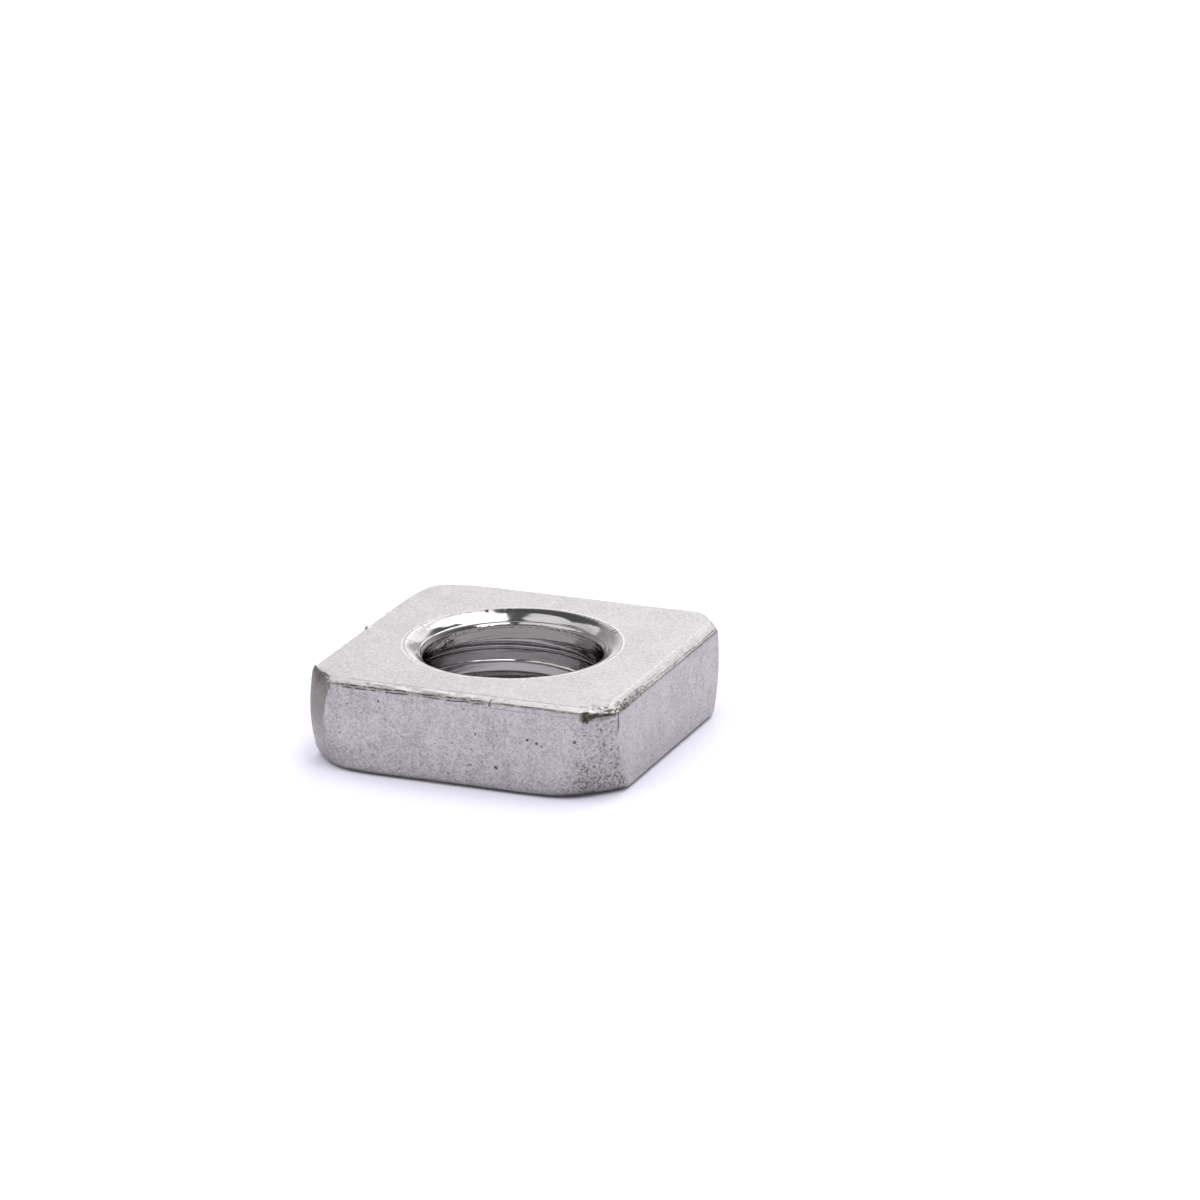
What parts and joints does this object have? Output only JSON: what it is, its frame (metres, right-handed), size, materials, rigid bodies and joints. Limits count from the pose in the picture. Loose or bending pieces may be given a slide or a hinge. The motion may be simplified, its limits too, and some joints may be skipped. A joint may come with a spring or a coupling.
{
  "type": "square nut",
  "caption": "Thin square nut with an M8 right-hand thread, countersunk at both faces and with unfilled, bulging corners; it clamps a screw and its flats stop it turning.",
  "frame": {"origin": "middle of the square on the lower face, which the nut lies on", "axes": "+Z along the thread, from the lower face to the upper face; +X and +Y out of two neighbouring flats"},
  "size_m": [0.013, 0.013, 0.0037],
  "materials": {
    "stainless_steel": "satin, pickled and tumbled, brighter in the thread"
  },
  "bodies": {
    "root": {"square_nut": "stainless_steel"}
  },
  "joints": []
}
